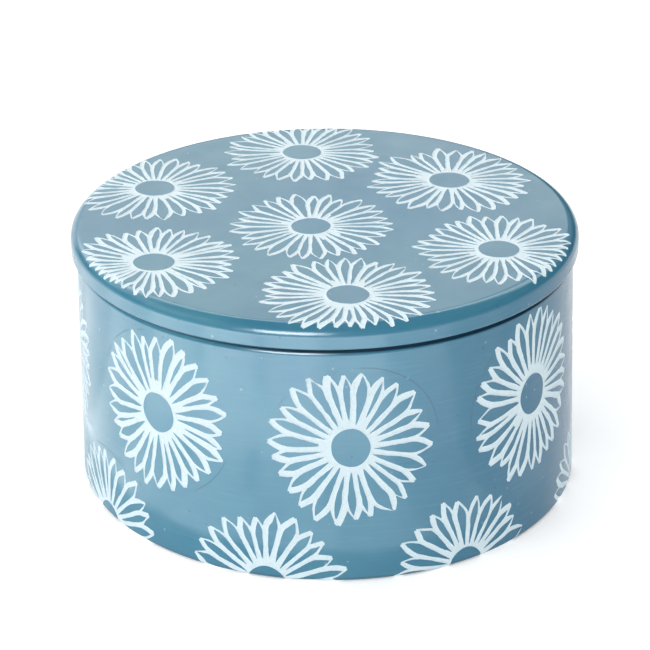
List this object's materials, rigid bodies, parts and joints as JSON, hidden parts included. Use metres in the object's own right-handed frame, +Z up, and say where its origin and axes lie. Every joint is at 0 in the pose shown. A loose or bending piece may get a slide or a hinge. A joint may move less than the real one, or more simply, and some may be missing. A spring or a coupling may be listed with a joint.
{
  "type": "lidded stone box",
  "caption": "Low round turned-stone box with straight walls and a thick loose lid that drops into its mouth, for keeping small dry things.",
  "frame": {"origin": "centre of the underside, on the axis that the box is turned about", "axes": "+Z up along the turning axis, +Y away from the side with the single centred flower, +X to its right"},
  "size_m": [0.1024, 0.1024, 0.0542],
  "materials": {
    "dyed_stone": "blue-dyed soft stone, rubbed to a waxed semi-gloss, with flowers etched through the dye to pale rough stone"
  },
  "bodies": {
    "base": {"base": "dyed_stone"},
    "lid": {"lid": "dyed_stone"}
  },
  "joints": [
    {"name": "lid_lift", "type": "slide", "parent": "base", "child": "lid", "axis": [0, 0, 1], "range_m": [0, 0.06]}
  ]
}
